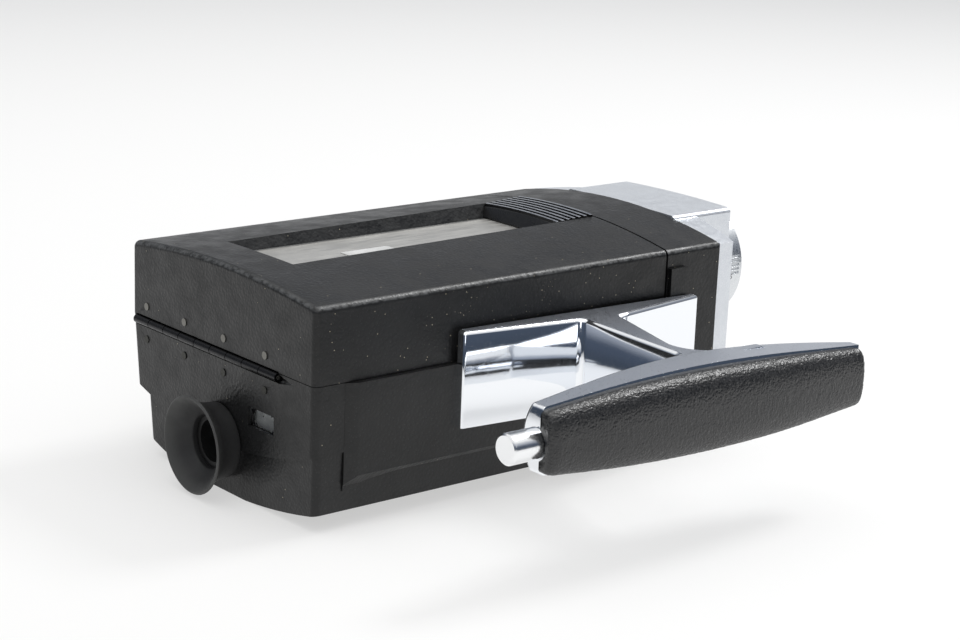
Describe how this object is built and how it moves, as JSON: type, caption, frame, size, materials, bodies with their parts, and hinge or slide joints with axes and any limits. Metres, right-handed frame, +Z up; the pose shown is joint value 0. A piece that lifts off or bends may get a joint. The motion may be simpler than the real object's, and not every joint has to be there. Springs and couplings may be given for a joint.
{
  "type": "cine camera",
  "caption": "Box-shaped cine camera with a pistol grip, hinged film door, sliding catch, thumb button, focusing lens and rubber eyecup.",
  "frame": {"origin": "middle of the flat battery cover, the face the camera lies on", "axes": "+Y forward through the lens, +Z up through the film door, +X towards the hand grip (down when the camera is held)"},
  "size_m": [0.1578, 0.1952, 0.0677],
  "materials": {
    "casing_plastic": "fine matt texture",
    "catch_plastic": "matt, with silver rib tops",
    "inner_plastic": "matt",
    "gear_plastic": "semi-gloss",
    "dial_white": "matt",
    "cell_label": "printed sleeve",
    "steel": "satin",
    "nameplate_metal": "satin, blank",
    "clear": "clear",
    "lens_glass": "coated",
    "seal_foam": "matt",
    "handle_chrome": "polished, flat faces satin",
    "button_chrome": "polished",
    "leather": "pebbled",
    "wire": "satin",
    "front_silver": "satin",
    "ring_silver": "satin",
    "barrel_black": "black anodised",
    "mechanism_plate": "bare, matt",
    "gate_chrome": "polished",
    "motor_can": "satin",
    "brass": "satin",
    "contact_brass": "satin",
    "eyecup_rubber": "matt"
  },
  "bodies": {
    "casing": {"main_casing": "casing_plastic", "battery_cover": "casing_plastic", "battery_cover_screw": "steel", "counter_window": "clear", "door_seal": "seal_foam", "hinge_leaf_lower": "steel", "hinge_pin": "steel", "hinge_rivets_lower": "steel", "handle_casting": "handle_chrome", "grip_cover": "leather", "start_button_spring": "steel", "start_switch": "inner_plastic", "switch_wires": "wire", "handle_screws": "steel", "front_casting": "front_silver", "front_screws": "steel", "meter_window": "clear", "photocell": "inner_plastic", "viewfinder_front_lens": "lens_glass", "lens_barrel": "barrel_black", "middle_lens": "lens_glass", "rear_lens": "lens_glass", "mechanism_frame": "mechanism_plate", "mechanism_screws": "steel", "film_gate": "gate_chrome", "motor_bracket": "mechanism_plate", "motor": "motor_can", "cartridge_spring": "steel", "viewfinder_tube": "inner_plastic", "battery_holder": "inner_plastic", "battery_cells": "cell_label", "battery_contacts": "contact_brass"},
    "door": {"film_door": "casing_plastic", "hinge_leaf_upper": "steel", "hinge_rivets_upper": "steel", "nameplate": "nameplate_metal", "plate_window": "clear", "catch_spring": "steel"},
    "catch": {"door_catch": "catch_plastic"},
    "button": {"start_button": "button_chrome"},
    "focus": {"focus_ring": "ring_silver", "front_lens": "lens_glass", "front_retaining_ring": "barrel_black"},
    "eyepiece": {"eyecup": "eyecup_rubber", "eyepiece_cell": "inner_plastic", "eyepiece_lens": "lens_glass"},
    "shutter": {"shutter_disc": "barrel_black", "shutter_gear": "gear_plastic", "shutter_shaft": "steel"},
    "motor_rotor": {"motor_pinion": "brass"},
    "takeup": {"takeup_spindle": "inner_plastic", "clutch_disc": "gear_plastic"},
    "counter": {"counter_dial": "dial_white"},
    "claw": {"claw": "gate_chrome"},
    "iris": {"iris_vane": "barrel_black"}
  },
  "joints": [
    {"name": "door_hinge", "type": "hinge", "parent": "casing", "child": "door", "pos_m": [0, -0.0735, 0.0397], "axis": [1, 0, 0], "range_deg": [0, 95]},
    {"name": "catch_slide", "type": "slide", "parent": "door", "child": "catch", "axis": [0, -1, 0], "range_m": [0, 0.004], "stiffness_N_per_m": 200, "springref_m": -0.003, "deforming": ["catch_spring"]},
    {"name": "button_press", "type": "slide", "parent": "casing", "child": "button", "axis": [0, 1, 0], "range_m": [0, 0.0035], "stiffness_N_per_m": 300, "springref_m": -0.003, "deforming": ["start_button_spring"]},
    {"name": "focus_turn", "type": "hinge", "parent": "casing", "child": "focus", "pos_m": [0.001, 0.107, 0.0445], "axis": [0, 1, 0], "range_deg": [0, 200]},
    {"name": "eyepiece_turn", "type": "hinge", "parent": "casing", "child": "eyepiece", "pos_m": [0.001, -0.07, 0.0149], "axis": [0, 1, 0], "range_deg": [-60, 60]},
    {"name": "shutter_spin", "type": "hinge", "parent": "casing", "child": "shutter", "pos_m": [0.017, 0.028, 0.039], "axis": [0, 1, 0], "continuous": true},
    {"name": "motor_spin", "type": "hinge", "parent": "casing", "child": "motor_rotor", "pos_m": [0.026, 0.028, 0.01936], "axis": [0, 1, 0], "continuous": true},
    {"name": "takeup_spin", "type": "hinge", "parent": "casing", "child": "takeup", "pos_m": [0, -0.016, 0.036], "axis": [0, 0, 1], "continuous": true},
    {"name": "counter_turn", "type": "hinge", "parent": "casing", "child": "counter", "pos_m": [0.0225, -0.069, 0.0175], "axis": [0, 1, 0], "range_deg": [0, 330]},
    {"name": "claw_slide", "type": "slide", "parent": "casing", "child": "claw", "axis": [-1, 0, 0], "range_m": [0, 0.0042]},
    {"name": "iris_turn", "type": "hinge", "parent": "casing", "child": "iris", "pos_m": [0.001, 0.074, 0.0553], "axis": [0, 1, 0], "range_deg": [-10, 10]}
  ],
  "couplings": [
    {"joint": "motor_spin", "follows": "shutter_spin", "ratio": -5}
  ]
}
